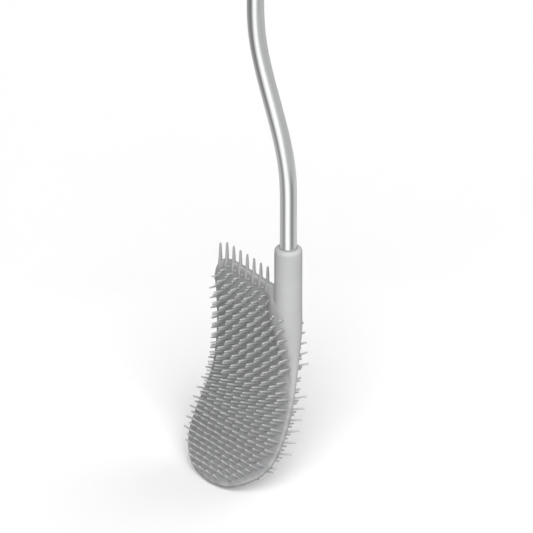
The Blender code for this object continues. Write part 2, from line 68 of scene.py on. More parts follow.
handleX = -axisX / mm  # the handle's axis stands over the world's origin


def at(x, y, z):
    return Vector((axisX + x * mm, y * mm, mouthZ + z * mm))


def heightOf(metres):
    return (metres - mouthZ) / mm


def ease(u):
    u = min(max(u, 0.0), 1.0)
    return u * u * (3 - 2 * u)


def newPiece(name, points, faces, sharpAngle=35):
    mesh = bpy.data.meshes.new(name)
    mesh.from_pydata(points, [], faces)
    mesh.update()
    obj = bpy.data.objects.new(name, mesh)
    bpy.context.scene.collection.objects.link(obj)
    return shadeSmooth(obj, sharpAngle)


def shadeSmooth(obj, sharpAngle):
    obj.data.shade_smooth()
    obj.data.set_sharp_from_angle(angle=math.radians(sharpAngle))
    return obj


def remove(*objects):
    for obj in objects:
        bpy.data.objects.remove(obj, do_unlink=True)


def bake(obj):
    # the evaluated shape becomes the object's own plain mesh
    depsgraph = bpy.context.evaluated_depsgraph_get()
    mesh = bpy.data.meshes.new_from_object(obj.evaluated_get(depsgraph))
    obj.modifiers.clear()
    obj.data = mesh
    return obj


def modify(obj, kind, **settings):
    modifier = obj.modifiers.new(kind.lower(), kind)
    for key, value in settings.items():
        setattr(modifier, key, value)
    return bake(obj)


def join(name, *objects):
    # one mesh out of several closed shells
    work = bmesh.new()
    for obj in objects:
        work.from_mesh(obj.data)
    mesh = bpy.data.meshes.new(name)
    work.to_mesh(mesh)
    work.free()
    joined = bpy.data.objects.new(name, mesh)
    bpy.context.scene.collection.objects.link(joined)
    remove(*objects)
    return joined


def loft(loops, closed=False):
    # faces between successive loops, round to the first again when closed, else with an end cap each
    count = len(loops[0])
    points = [point for loop in loops for point in loop]
    faces = []
    for i in range(len(loops) if closed else len(loops) - 1):
        a, b = i * count, (i + 1) % len(loops) * count
        faces += [(a + j, a + (j + 1) % count, b + (j + 1) % count, b + j) for j in range(count)]
    if not closed:
        last = (len(loops) - 1) * count
        faces.append(tuple(reversed(range(count))))
        faces.append(tuple(range(last, last + count)))
    return points, faces


def facingOut(obj):
    work = bmesh.new()
    work.from_mesh(obj.data)
    bmesh.ops.recalc_face_normals(work, faces=work.faces)
    work.to_mesh(obj.data)
    work.free()
    return obj


def ring(radiusX, radiusY, z, sides, x=0.0, y=0.0):
    turn = 2 * math.pi / sides
    return [at(x + radiusX * math.cos(i * turn), y + radiusY * math.sin(i * turn), z) for i in range(sides)]


def softCorners(profile, radius, steps=4, closed=True):
    # every corner of a profile becomes a small curve that starts and ends radius away from it
    corners = [Vector(point) for point in profile]
    count = len(corners)
    soft = []
    for i, corner in enumerate(corners):
        if not closed and i in (0, count - 1):
            soft.append(tuple(corner))
            continue
        before, after = corners[i - 1] - corner, corners[(i + 1) % count] - corner
        start = corner + before.normalized() * min(radius, before.length * 0.48)
        end = corner + after.normalized() * min(radius, after.length * 0.48)
        for k in range(steps + 1):
            u = k / steps
            soft.append(tuple(start * (1 - u) ** 2 + corner * 2 * u * (1 - u) + end * u * u))
    return soft


def turned(name, profile, x=0.0, sides=96, closed=True):
    # a profile of (radius, z) turned about the vertical axis at x
    loops = [ring(radius, radius, z, sides, x=x) for radius, z in profile]
    return facingOut(newPiece(name, *loft(loops, closed)))


def crossBar(name, radius, halfLength, x, z, sides=48):
    turn = 2 * math.pi / sides
    loops = [[at(x + radius * math.cos(i * turn), y, z + radius * math.sin(i * turn)) for i in range(sides)]
             for y in (-halfLength, halfLength)]
    return facingOut(newPiece(name, *loft(loops)))


def cut(obj, *tools):
    for tool in tools:
        modify(obj, "BOOLEAN", operation="DIFFERENCE", object=tool, solver="MANIFOLD")
        remove(tool)
    return obj


class Wire:
    # a node's output, which takes part in sums
    def __init__(self, tree, socket):
        self.tree, self.socket = tree, socket

    def math(self, operation, *others, first=None):
        node = self.tree.nodes.new("ShaderNodeMath")
        node.operation = operation
        values = (self, *others) if first is None else (first, self)
        for socket, value in zip(node.inputs, values):
            plug(self.tree, socket, value)
        return Wire(self.tree, node.outputs[0])

    def __add__(self, other):
        return self.math("ADD", other)

    def __radd__(self, other):
        return self.math("ADD", other)

    def __sub__(self, other):
        return self.math("SUBTRACT", other)

    def __rsub__(self, other):
        return self.math("SUBTRACT", first=other)

    def __mul__(self, other):
        return self.math("MULTIPLY", other)

    def __rmul__(self, other):
        return self.math("MULTIPLY", other)

    def __truediv__(self, other):
        return self.math("DIVIDE", other)


def plug(tree, socket, value):
    if isinstance(value, Wire):
        tree.links.new(value.socket, socket)
    elif isinstance(value, (tuple, list)) and len(value) == 3 and socket.type == "RGBA":
        socket.default_value = (*value, 1.0)
    else:
        socket.default_value = value


def addNode(tree, kind, settings=None, sockets=None, out=0):
    # settings come first, since they decide which sockets a node has
    node = tree.nodes.new(kind)
    for key, value in (settings or {}).items():
        if key == "stops":
            ramp = node.color_ramp
            while len(ramp.elements) < len(value):
                ramp.elements.new(0.5)
            for element, (place, level) in zip(ramp.elements, value):
                element.position = place
                element.color = (level, level, level, 1.0)
        else:
            setattr(node, key, value)
    for key, value in (sockets or {}).items():
        named = [s for s in node.inputs if key in (s.identifier, s.name) and s.enabled]
        plug(tree, named[0] if named else node.inputs[key], value)
    return Wire(tree, node.outputs[out])


def threeParts(tree, vector):
    # x, y and z
    node = addNode(tree, "ShaderNodeSeparateXYZ", {}, {"Vector": vector}).socket.node
    return [Wire(tree, output) for output in node.outputs]


class Finish:
    # a material, its Principled shader and the few patterns that the finishes share
    def __init__(self, name, **constants):
        self.material = bpy.data.materials.new(name)
        self.material.use_nodes = True
        self.tree = self.material.node_tree
        self.shader = self.tree.nodes["Principled BSDF"]
        self.set(**constants)
        self.place = addNode(self.tree, "ShaderNodeTexCoord", out=3)

    def set(self, **sockets):
        for key, value in sockets.items():
            plug(self.tree, self.shader.inputs[key.replace("_", " ")], value)

    def add(self, kind, settings=None, sockets=None, out=0):
        return addNode(self.tree, kind, settings, sockets, out)

    def noise(self, perMetre, detail=3.0, stretch=(1, 1, 1), roughness=0.5):
        where = self.add("ShaderNodeMapping", {}, {"Vector": self.place, "Scale": stretch})
        return self.add("ShaderNodeTexNoise", {}, {
            "Vector": where, "Scale": perMetre, "Detail": detail, "Roughness": roughness})

    def ramp(self, value, *stops):
        return self.add("ShaderNodeValToRGB", {"stops": stops}, {"Fac": value})

    def mix(self, factor, first, second):
        return self.add("ShaderNodeMix", {"data_type": "RGBA"}, {
            "Factor_Float": factor, "A_Color": first, "B_Color": second}, 2)

    def bump(self, height, metres, strength=1.0):
        self.set(Normal=self.add("ShaderNodeBump", {}, {
            "Height": height, "Distance": metres, "Strength": strength}))

    def mouldSkin(self, roughness, grainScale=9000, grainDepth=0.00002):
        # the fine spark-eroded grain of a mould, and a slow drift in its polish
        cloud = self.noise(60, 2)
        grain = self.noise(grainScale, 2)
        self.set(Roughness=cloud * 0.12 + (roughness - 0.06))
        self.bump(grain, grainDepth)
        return cloud, grain


# a pair where a finish drifts between two colours
colours = {
    "blade": ((0.335, 0.337, 0.340), (0.372, 0.373, 0.375)),
    # painted shade: the darker colour of the skin between the bristles, where they shade it
    "paintedShadeBetweenBristles": (0.27, 0.272, 0.275),
    "bladeFoot": (0.10, 0.10, 0.105),
    "comb": ((0.25, 0.252, 0.255), (0.285, 0.286, 0.29)),
    # painted shade: the bristles' roots are coloured darker than their tips
    "bristle": ((0.25, 0.252, 0.255), (0.37, 0.372, 0.375)),  # root and tip
    "seal": ((0.022, 0.022, 0.024), (0.04, 0.04, 0.042)),
    "grip": ((0.19, 0.19, 0.195), (0.225, 0.226, 0.23)),
    "cap": ((0.16, 0.16, 0.165), (0.19, 0.19, 0.195)),
    "stud": ((0.10, 0.10, 0.105), (0.13, 0.13, 0.135)),
    "core": ((0.12, 0.12, 0.125), (0.15, 0.15, 0.155)),
    "tubeSteel": (0.80, 0.805, 0.81),
    "collarSteel": (0.78, 0.785, 0.79),
    "pinSteel": (0.74, 0.745, 0.75),
    "brass": ((0.72, 0.52, 0.24), (0.60, 0.42, 0.19)),  # clean and stained
    "floor": ((0.74, 0.74, 0.742), (0.76, 0.76, 0.76)),
    "floorBounce": (0.42, 0.42, 0.42),
}


def grainyRubber(name, colour, roughness, *grainSizes):
    # soft moulded rubber with a slow drift of tone
    finish = Finish(name, IOR=1.45, Specular_IOR_Level=0.4)
    cloud, grain = finish.mouldSkin(roughness, *grainSizes)
    tone = finish.ramp(cloud * 0.7 + grain * 0.3, (0.3, 0.0), (0.7, 1.0))
    finish.tint = finish.mix(tone, *colour)
    finish.set(Base_Color=finish.tint)
    return finish


def bladeRubber():
    # painted shade: darker on the skin between the bristles, where they shade it, and a little darker
    # towards the blade's foot
    finish = grainyRubber("bladeRubber", colours["blade"], 0.58)
    shadeMask = finish.add("ShaderNodeAttribute", {"attribute_name": "amongBristles"}, out=2)
    # painted shade mixed in where the bristles stand close
    skin = finish.mix(shadeMask, finish.tint, colours["paintedShadeBetweenBristles"])
    x, y, z = threeParts(finish.tree, finish.place)
    low = finish.ramp((mouthZ - z) / (blade["length"] * mm), (0.45, 0.0), (0.8, 0.28))
    finish.set(Base_Color=finish.mix(low, skin, colours["bladeFoot"]))
    return finish.material


def bristleRubber():
    # painted shade and light: the roots are coloured darker, where the bristles shade one another, and the
    # tips paler, where the light falls on them
    finish = Finish("bristleRubber", IOR=1.45, Specular_IOR_Level=0.55)
    finish.mouldSkin(0.5)
    along = finish.add("ShaderNodeAttribute", {"attribute_name": "along"}, out=2)
    # painted shade at the roots, paler tips
    finish.set(Base_Color=finish.mix(along, *colours["bristle"]))
    return finish.material


def drawnSteel(name, colour, roughness):
    # drawn tube: hairlines along its length, and a faint cloud in the polish
    finish = Finish(name, Metallic=1.0)
    hairs = finish.noise(2600, 4, stretch=(1, 1, 0.02))
    cloud = finish.noise(45, 3)
    lines = finish.ramp(hairs, (0.35, 0.0), (0.65, 1.0))
    finish.set(
        Base_Color=finish.mix(lines * 0.5 + cloud * 0.3, colour, tuple(0.9 * c for c in colour)),
        Roughness=lines * 0.06 + cloud * 0.05 + (roughness - 0.05))
    finish.bump(hairs, 0.000002)
    return finish.material


def mouldedPlastic(name, colour, roughness=0.42):
    # hard plastic, with a little more sheen than the rubber
    finish = Finish(name, IOR=1.5)
    cloud = finish.noise(90, 3)
    grain = finish.noise(14000, 2)
    finish.set(Base_Color=finish.mix(cloud, *colour), Roughness=grain * 0.14 + (roughness - 0.07))
    finish.bump(grain, 0.000012)
    return finish.material


def threadBrass():
    # fine rings from the turning tool, and a little stain
    finish = Finish("threadBrass", Metallic=1.0)
    turning = finish.noise(900, 3, stretch=(0.05, 0.05, 6))
    stain = finish.noise(160, 4)
    finish.set(
        Base_Color=finish.mix(stain, *colours["brass"]),
        Roughness=turning * 0.2 + 0.2)
    finish.bump(turning, 0.00001)
    return finish.material


def put(obj, material):
    obj.data.materials.clear()
    obj.data.materials.append(material)


def fit(piece, body, node):
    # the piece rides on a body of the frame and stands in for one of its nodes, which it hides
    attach(piece, body)
    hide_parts(node)
    print(piece.name + ":", len(piece.data.polygons), "faces, for", node)


# a soft paddle, flat at the top and curling forward, in one with its neck and socket
blade = {
    "top": -25.5,  # z of the top edge
    "length": 150.0,  # from the socket's mouth to the foot
    "curlStart": 38.0,
    "curlRate": 0.31,
    "curlPower": 1.1,
    "curlStep": 0.5,
    "curlEnd": 130.0,
    "crownCentre": -24.0,
    "crownHalfWidth": 35.0,
    "crownDepth": 2.0,
    "twist": -0.075,  # how much the top edge turns its right end forward
    "twistEnd": 50.0,
    "halfThickness": 1.6,
    "edgeRadius": 0.75,
    "edgeSteps": 5,
    "flatVoxel": 1.0,
    "voxel": 0.56,
    "sharpAngle": 50,
    "outlineSteps": 8,
    "outline": (
        (-20, 0.6), (-36, 0.7), (-49, 1.5), (-58.6, 5.6), (-63.2, 15), (-61.6, 26),
        (-60.7, 45), (-60.7, 66), (-63.4, 83), (-65.0, 95), (-62.4, 108.5), (-53.6, 118.6),
        (-42, 124), (-29, 125.2), (-17, 122.7), (-6, 115.2), (1.4, 106.2), (4.6, 95),
        (5.2, 80), (4.9, 62), (3.8, 46), (3.2, 30), (3.0, 12), (-2, 0.6)),
}
socket = {
    "sides": 96,
    "radius": 7.4,
    # how much narrower the mouth is, and at what height
    "mouthRounding": (
        (2.35, -0.25), (1.9, 0.0), (1.35, -0.1), (0.9, -0.35), (0.5, -0.7), (0.25, -1.1), (0.0, -2.0)),
    "lipRadius": 4.64,
    "lipDepth": 1.5,
    "lipSlope": 0.4,
    "bore": 6.4,
    "boreTop": 2.0,
    "boreBottom": -44.0,
    # height, middle x, half width, half thickness, shift back
    "neck": (
        (-36, 0.0, 7.4, 7.4, 0.0), (-44, 0.0, 7.4, 7.1, 0.5), (-51, 0.3, 6.9, 6.2, 0.9),
        (-58, 1.0, 5.7, 4.8, 1.2), (-65, 1.9, 4.4, 3.4, 1.3), (-72, 2.7, 3.2, 2.4, 1.1),
        (-80, 3.3, 2.3, 1.9, 0.5), (-90, 4.0, 1.3, 1.6, -0.8), (-100, 4.2, 0.8, 1.4, -2.9)),
    "neckSteps": 40,
}
# the web that swells between the blade and the socket
web = {
    "start": 0.4,  # t of the first row, and the next ones follow a millimetre apart
    "rows": 44,
    "steps": 16,
    "width": (15.0, 12.0),  # beside the socket, in front and behind
    "rise": 7.5,  # how far down it takes to rise
    "fullness": 2.3,
    "sink": 0.15,  # it starts a little inside the face
    "tuck": (1.0, 0.3),  # and its edge is tucked further out and in
}
# how the socket and the neck are smoothed into the blade
fillet = {
    "rounds": 12,
    "reach": 4.0,
    "fade": 10.0,
    "start": 22.0,
    "startOver": 5.0,
    "end": 80.0,
    "endOver": 16.0,
    "least": 0.12,
}


def curlAngle(t):
    return math.radians(blade["curlRate"] * max(t - blade["curlStart"], 0.0) ** blade["curlPower"])


def curlRows():
    # y and z of the blade's middle line, at even steps of t
    y, z, t, step = 0.0, blade["top"], 0.0, blade["curlStep"]
    rows = [(y, z)]
    while t < blade["curlEnd"]:
        angle = curlAngle(t + step / 2)
        y -= math.sin(angle) * step
        z -= math.cos(angle) * step
        t += step
        rows.append((y, z))
    return rows


curl = curlRows()


def bow(x, t):
    # how far back the middle surface lies from its flat place: crowned, but straight and turned at the top
    u = ease(t / blade["twistEnd"])
    away = x - blade["crownCentre"]
    return u * blade["crownDepth"] * (away / blade["crownHalfWidth"]) ** 2 + (1 - u) * blade["twist"] * away


def frontNormal(x, t):
    # out of the front face, from the bow's slope over a millimetre
    angle = curlAngle(t)
    slope = (bow(x + 0.5, t) - bow(x - 0.5, t)) * math.cos(angle)
    return Vector((slope, -math.cos(angle), math.sin(angle))).normalized()


def surface(x, t, n=0.0):
    # a point of the blade in millimetres from the mouth
    if t < 0:
        y, z = 0.0, blade["top"] - t
    else:
        row, part = int(t / blade["curlStep"]), t / blade["curlStep"] % 1
        y = curl[row][0] * (1 - part) + curl[row + 1][0] * part
        z = curl[row][1] * (1 - part) + curl[row + 1][1] * part
    angle, back = curlAngle(t), bow(x, t)
    return Vector((x, y + back * math.cos(angle), z - back * math.sin(angle))) + frontNormal(x, t) * n


def smoothLoop(points, steps):
    # a closed Catmull-Rom curve
    loop = []
    for i in range(len(points)):
        a, b, c, d = (Vector(points[(i + k) % len(points)]) for k in (-1, 0, 1, 2))
        for step in range(steps):
            u = step / steps
            loop.append(0.5 * (2 * b + (c - a) * u + (2 * a - 5 * b + 4 * c - d) * u * u
                               + (3 * b - a - 3 * c + d) * u ** 3))
    return loop


outline = smoothLoop(blade["outline"], blade["outlineSteps"])


def edgesAt(t):
    # left and right x of the outline at t
    found = []
    for a, b in zip(outline, outline[1:] + outline[:1]):
        if (a.y - t) * (b.y - t) < 0:
            found.append(a.x + (b.x - a.x) * (t - a.y) / (b.y - a.y))
    return (min(found), max(found)) if found else (0.0, 0.0)


def edgeDistance(x, t):
    # distance from a point inside the outline to its nearest edge, less than 0 outside
    left, right = edgesAt(t)
    nearest = min((point - Vector((x, t))).length for point in outline)
    return nearest if left < x < right else -nearest


def insetLoop(loop, width):
    # each point of the outline moves inwards, square to its neighbours
    moved = []
    for i, point in enumerate(loop):
        along = (loop[(i + 1) % len(loop)] - loop[i - 1]).normalized()
        moved.append(point + Vector((along.y, -along.x)) * width)
    return moved


def makeSlab():
    # made flat with a rounded edge, filled with even small faces, then bent to the blade's curve
    half, radius, steps = blade["halfThickness"], blade["edgeRadius"], blade["edgeSteps"]
    loops = []
    for side in (-1, 1):
        for k in range(steps + 1):
            angle = math.pi / 2 * (k / steps if side > 0 else 1 - k / steps)
            n = side * (half - radius + radius * math.sin(angle))
            loop = insetLoop(outline, radius * (1 - math.cos(angle)))
            loops.append([Vector((p.x, n, p.y)) for p in loop])
    slab = facingOut(newPiece("slab", *loft(loops)))
    modify(slab, "REMESH", mode="VOXEL", voxel_size=blade["flatVoxel"], use_smooth_shade=True)
    for vertex in slab.data.vertices:
        x, n, t = vertex.co
        vertex.co = at(*surface(x, t, n))
    return slab


def makeSocketSolid():
    # a round socket with a rounded mouth, which flattens into the neck
    top = [(socket["radius"] - narrower, z) for narrower, z in socket["mouthRounding"]]
    loops = [ring(radius, radius, z, socket["sides"]) for radius, z in top]
    first, last, steps = socket["neck"][0][0], socket["neck"][-1][0], socket["neckSteps"]
    for k in range(steps + 1):
        z = first + (last - first) * k / steps
        middle, wide, thick, back = neckAt(z)
        loops.append(ring(wide, thick, z, socket["sides"], x=middle, y=back))
    return facingOut(newPiece("socketSolid", *loft(loops)))


def neckAt(z):
    # middle, half width, half thickness and shift back of the neck at a height
    sections = socket["neck"]
    for (high, *a), (low, *b) in zip(sections, sections[1:]):
        if z > low:
            u = max((high - z) / (high - low), 0)
            return tuple(p + (q - p) * u for p, q in zip(a, b))
    return sections[-1][1:]


def webProfile(middle, wide, height, t, side):
    # x and n from the blade's face, up a soft slope, to the front or the back of the neck
    flat = blade["halfThickness"] - web["sink"]
    width = web["width"][side < 0] * wide / socket["radius"]
    rise = max(height - flat, 0) * ease(t / web["rise"])
    out, down = web["tuck"]
    points = [(middle - width - out, flat - down)]
    for k in range(web["steps"] + 1):
        u = k / web["steps"]
        points.append((middle - width * (1 - u), flat + rise * (1 - (1 - u) ** web["fullness"])))
    return [at(*surface(x, t, side * n)) for x, n in points]


def makeWeb():
    # the blade swells in a long soft slope to meet the front and the back of the neck
    loops = []
    for row in range(web["rows"] + 1):
        t = web["start"] + row
        middle, wide, thick, back = neckAt(blade["top"] - t)
        centre = bow(middle, t) - back
        front = webProfile(middle, wide, thick + centre, t, 1)
        rear = webProfile(middle, wide, thick - centre, t, -1)
        loops.append(front + rear[::-1])
    return facingOut(newPiece("neckWeb", *loft(loops)))


def smoothWeights(obj):
    # full strength where the socket and the neck run into the blade, and little at the rim's edge
    group = obj.vertex_groups.new(name="fillet")
    least = fillet["least"]
    for vertex in obj.data.vertices:
        x, y, z = (vertex.co.x - axisX) / mm, vertex.co.y / mm, heightOf(vertex.co.z)
        middle, wide, thick, back = neckAt(z)
        near = 1 - ease((math.hypot(x - middle, y) - wide - fillet["reach"]) / fillet["fade"])
        begun = ease((-z - fillet["start"]) / fillet["startOver"])
        ended = ease((-z - fillet["end"]) / fillet["endOver"])
        below = begun * (1 - ended)
        group.add([vertex.index], least + (1 - least) * near * below, "REPLACE")
    return group.name


def makeBlade():
    body = join("brushBlade", makeSlab(), makeSocketSolid(), makeWeb())
    modify(body, "REMESH", mode="VOXEL", voxel_size=blade["voxel"] * mm, use_smooth_shade=True)
    group = smoothWeights(body)
    modify(body, "SMOOTH", factor=0.5, iterations=fillet["rounds"], vertex_group=group)
    lip, bore, depth = socket["lipRadius"], socket["bore"], -socket["lipDepth"]
    profile = ((lip, socket["boreTop"]), (lip, depth), (bore, depth - socket["lipSlope"]),
               (bore, socket["boreBottom"]))
    cut(body, turned("boreCutter", profile, closed=False))
    put(shadeSmooth(body, blade["sharpAngle"]), bladeRubber())
    fit(body, "head", "blade_rim")
    return body


# two staggered sets of moulded bristles on each side
bristles = {
    "pitch": 6.15,
    "firstX": -58.35,
    "firstT": 7.9,
    "rows": 40,
    "columns": 24,
    "length": 8.4,
    "topLength": 2.4,
    "fullLengthAt": 26.0,
    "lowLength": 6.6,
    "shrinkFrom": 92.0,
    "shrinkOver": 30.0,
    "shorterBy": 2.0,  # the second set stands this much lower
    "leftFade": 6.5,
    "leftLoss": 5.5,
    "rightFade": 6.0,
    "rightLoss": 0.8,  # behind the blade only
    "stub": 0.8,
    "edgeMargin": 1.7,
    "neckRows": (10, 50),  # between these they also stand on the neck, over this share of its width
    "neckShare": 0.62,
    "castFrom": 14.0,  # each looks for the skin from this far off
    "steepest": 0.35,  # and stands on none that turns further away
    "sides": 8,
    # radius, distance from the root or from the tip, share of the length
    "shape": ((0.80, -0.6, 0), (0.74, 0.0, 0), (0.62, 0.3, 0), (0.58, 0.7, 0), (0.54, 0.0, 0.6),
              (0.51, -0.45, 1), (0.46, -0.22, 1), (0.30, -0.05, 1), (0.10, 0.0, 1)),
    "frontLean": (-6.0, -15.0),  # degrees at the left edge: at the top, and where the blade curls
    "leanFrom": 30.0,
    "leanOver": 45.0,
    "leanRight": 4.0,  # x where the front ones stand straight
    "leanWidth": 64.0,
    "rearLean": 3.0,  # degrees at the crown, and how many more at the right edge
    "rearSpread": 17.0,
    "rearWidth": 30.0,
    "liftFrom": 42.0,  # the front ones also tip upwards where the blade curls
    "liftOver": 35.0,
    "lift": 9.0,
    "rearLift": 9.0,
    "sway": 0.035,
    "seed": 7,
}
# how the painted shade on the skin between the bristles fades out round them and towards the neck
bristleShade = {
    "near": 2.2,
    "far": 4.2,
    "neckShare": 0.6,
    "neckFade": 5.0,
    "neckEnd": 72.0,
    "neckEndOver": 20.0,
}


def bristleLength(x, t, side):
    left, right = edgesAt(t)
    nearLeft = 1 - ease((x - left) / bristles["leftFade"])
    nearRight = (1 - ease((right - x) / bristles["rightFade"])) * (side < 0)
    grown = (bristles["length"] - bristles["topLength"]) * ease(t / bristles["fullLengthAt"])
    low = ease((t - bristles["shrinkFrom"]) / bristles["shrinkOver"])
    shrunk = (bristles["length"] - bristles["lowLength"]) * low
    length = bristles["topLength"] + grown - shrunk
    return length - bristles["leftLoss"] * nearLeft - bristles["rightLoss"] * nearRight


def bristleUnit():
    # one bristle of no length: each ring knows its share of the length it will be given
    count = bristles["sides"]
    turn = 2 * math.pi / count
    loops = [[Vector((radius * math.cos(i * turn), radius * math.sin(i * turn), base)) * mm
              for i in range(count)] for radius, base, share in bristles["shape"]]
    unit = newPiece("bristleUnit", *loft(loops))
    share = unit.data.attributes.new("share", "FLOAT", "POINT")
    for i, (radius, base, part) in enumerate(bristles["shape"]):
        for k in range(count):
            share.data[i * count + k].value = part
    return unit


def newTree(name, inputs):
    # a geometry tree and the outputs of its named inputs
    tree = bpy.data.node_groups.new(name, "GeometryNodeTree")
    tree.interface.new_socket("Geometry", in_out="INPUT", socket_type="NodeSocketGeometry")
    for label, kind in inputs.items():
        tree.interface.new_socket(label, in_out="INPUT", socket_type="NodeSocket" + kind)
    tree.interface.new_socket("Geometry", in_out="OUTPUT", socket_type="NodeSocketGeometry")
    source = tree.nodes.new("NodeGroupInput")
    wires = {socket.name: Wire(tree, socket) for socket in source.outputs if socket.name}
    return tree, wires


def endTree(tree, geometry, material):
    # what has been placed becomes real, smooth and finished
    real = addNode(tree, "GeometryNodeRealizeInstances", {}, {"Geometry": geometry})
    smooth = addNode(tree, "GeometryNodeSetShadeSmooth", {}, {"Geometry": real, "Shade Smooth": True})
    done = addNode(tree, "GeometryNodeSetMaterial", {}, {"Geometry": smooth, "Material": material})
    sink = tree.nodes.new("NodeGroupOutput")
    plug(tree, sink.inputs["Geometry"], done)


def grow(obj, tree, values):
    # fills the tree's named inputs and keeps what it makes
    modifier = obj.modifiers.new(tree.name, "NODES")
    modifier.node_group = tree
    for item in tree.interface.items_tree:
        if item.in_out == "INPUT" and item.name in values:
            modifier[item.identifier] = values[item.name]
    return bake(obj)


def bristleTree():
    # a bristle on every root, turned to its direction and drawn out to its length
    tree, given = newTree("bristleField", {
        "Bristle": "Object", "Material": "Material", "Sway": "Float", "Seed": "Int"})
    attribute = "GeometryNodeInputNamedAttribute"
    direction = addNode(tree, attribute, {"data_type": "FLOAT_VECTOR"}, {"Name": "direction"})
    length = addNode(tree, attribute, {"data_type": "FLOAT"}, {"Name": "length"})
    share = addNode(tree, attribute, {"data_type": "FLOAT"}, {"Name": "share"})
    sway = addNode(tree, "FunctionNodeRandomValue", {"data_type": "FLOAT_VECTOR"}, {
        "Min": (-1.0, -1.0, -1.0), "Max": (1.0, 1.0, 1.0), "Seed": given["Seed"]})
    swayed = addNode(tree, "ShaderNodeVectorMath", {"operation": "SCALE"}, {
        "Vector": sway, "Scale": given["Sway"]})
    leaning = addNode(tree, "ShaderNodeVectorMath", {"operation": "ADD"}, {0: direction, 1: swayed})
    leaning = addNode(tree, "ShaderNodeVectorMath", {"operation": "NORMALIZE"}, {"Vector": leaning})
    store = "GeometryNodeStoreNamedAttribute"
    kept = addNode(tree, store, {"data_type": "FLOAT_VECTOR", "domain": "POINT"}, {
        "Geometry": given["Geometry"], "Name": "leaning", "Value": leaning})
    turn = addNode(tree, "FunctionNodeAlignRotationToVector", {"axis": "Z"}, {"Vector": leaning})
    unit = addNode(tree, "GeometryNodeObjectInfo", {}, {"Object": given["Bristle"]}, 4)
    placed = addNode(tree, "GeometryNodeInstanceOnPoints", {}, {
        "Points": kept, "Instance": unit, "Rotation": turn})
    real = addNode(tree, "GeometryNodeRealizeInstances", {}, {"Geometry": placed})
    lean = addNode(tree, attribute, {"data_type": "FLOAT_VECTOR"}, {"Name": "leaning"})
    stretch = addNode(tree, "ShaderNodeVectorMath", {"operation": "SCALE"}, {
        "Vector": lean, "Scale": share * length})
    long = addNode(tree, "GeometryNodeSetPosition", {}, {"Geometry": real, "Offset": stretch})
    marked = addNode(tree, store, {"data_type": "FLOAT", "domain": "POINT"}, {
        "Geometry": long, "Name": "along", "Value": share})
    endTree(tree, marked, given["Material"])
    return tree


def leanAt(x, t, side):
    # degrees towards the right edge
    if side < 0:
        away = (x - blade["crownCentre"]) / bristles["rearWidth"]
        return bristles["rearLean"] + bristles["rearSpread"] * away
    high, low = bristles["frontLean"]
    left = high + (low - high) * ease((t - bristles["leanFrom"]) / bristles["leanOver"])
    return left * (bristles["leanRight"] - x) / bristles["leanWidth"]


def bristleDirection(x, t, side):
    across = Vector((1, 0, 0))
    straight = frontNormal(blade["crownCentre"], max(t, blade["twistEnd"])) * side
    lean = math.radians(leanAt(x, t, side))
    curled = ease((t - bristles["liftFrom"]) / bristles["liftOver"])
    lift = math.radians(bristles["lift"] * curled if side > 0 else bristles["rearLift"])
    lifted = straight * math.cos(lift) + across.cross(straight) * -side * math.sin(lift)
    return (lifted * math.cos(lean) + across * math.sin(lean)).normalized()


def bristleRoots(side, body):
    # points on the blade's skin with the direction and the length of the bristle that grows from each
    tree = BVHTree.FromObject(body, bpy.context.evaluated_depsgraph_get())
    lowest = max(point.y for point in outline)
    margin, castFrom = bristles["edgeMargin"], bristles["castFrom"]
    neckFrom, neckTo = bristles["neckRows"]
    roots = []
    for row in range(-1, bristles["rows"]):
        for column in range(-1, bristles["columns"]):
            x = bristles["firstX"] + bristles["pitch"] * (column / 2)
            t = bristles["firstT"] + bristles["pitch"] * (row / 2)
            middle, wide, thick, back = neckAt(blade["top"] - t)
            onNeck = neckFrom < t < neckTo and abs(x - middle) < wide * bristles["neckShare"]
            if (row - column) % 2 or t > lowest - margin or edgeDistance(x, t) < margin and not onNeck:
                continue
            normal = frontNormal(x, t) * side
            hit, skin, face, distance = tree.ray_cast(at(*surface(x, t, side * castFrom)), -normal)
            if hit is None or distance > castFrom * mm or skin.dot(normal) < bristles["steepest"]:
                continue
            lean = math.radians(leanAt(x, t, side))
            reach = blade["halfThickness"] + bristleLength(x, t, side) - bristles["shorterBy"] * (row % 2)
            length = (reach - (castFrom - distance / mm)) / math.cos(lean)
            if length >= 0:
                roots.append((hit, bristleDirection(x, t, side), max(length, bristles["stub"]) * mm))
    return roots


def paintBristleShade(body, roots):
    # the blade's skin remembers where bristles stand, as the mask of the painted shade between them, fading
    # towards the neck
    tree = KDTree(len(roots))
    for i, (root, direction, length) in enumerate(roots):
        tree.insert(root, i)
    tree.balance()
    attributes, name = body.data.attributes, "amongBristles"
    shadeMask = attributes.get(name) or attributes.new(name, "FLOAT", "POINT")
    near, far = bristleShade["near"], bristleShade["far"]
    for vertex, value in zip(body.data.vertices, shadeMask.data):
        x, z = (vertex.co.x - axisX) / mm, heightOf(vertex.co.z)
        middle, wide, thick, back = neckAt(z)
        ended = ease((-z - bristleShade["neckEnd"]) / bristleShade["neckEndOver"])
        beside = ease((middle - x - wide * bristleShade["neckShare"]) / bristleShade["neckFade"] + ended)
        apart = tree.find(vertex.co)[2] / mm
        value.value = max(value.value, beside * (1 - ease((apart - near) / (far - near))))


def makeBristles(name, side, body, replaced):
    roots = bristleRoots(side, body)
    paintBristleShade(body, roots)
    field = newPiece(name, [root for root, direction, length in roots], [])
    directions = field.data.attributes.new("direction", "FLOAT_VECTOR", "POINT")
    directions.data.foreach_set("vector", [part for root, direction, length in roots for part in direction])
    lengths = field.data.attributes.new("length", "FLOAT", "POINT")
    lengths.data.foreach_set("value", [length for root, direction, length in roots])
    unit = bristleUnit()
    grow(field, bristleTree(), {
        "Bristle": unit, "Material": bristleRubber(), "Sway": bristles["sway"],
        "Seed": bristles["seed"] + side})
    remove(unit)
    fit(field, "head", replaced)


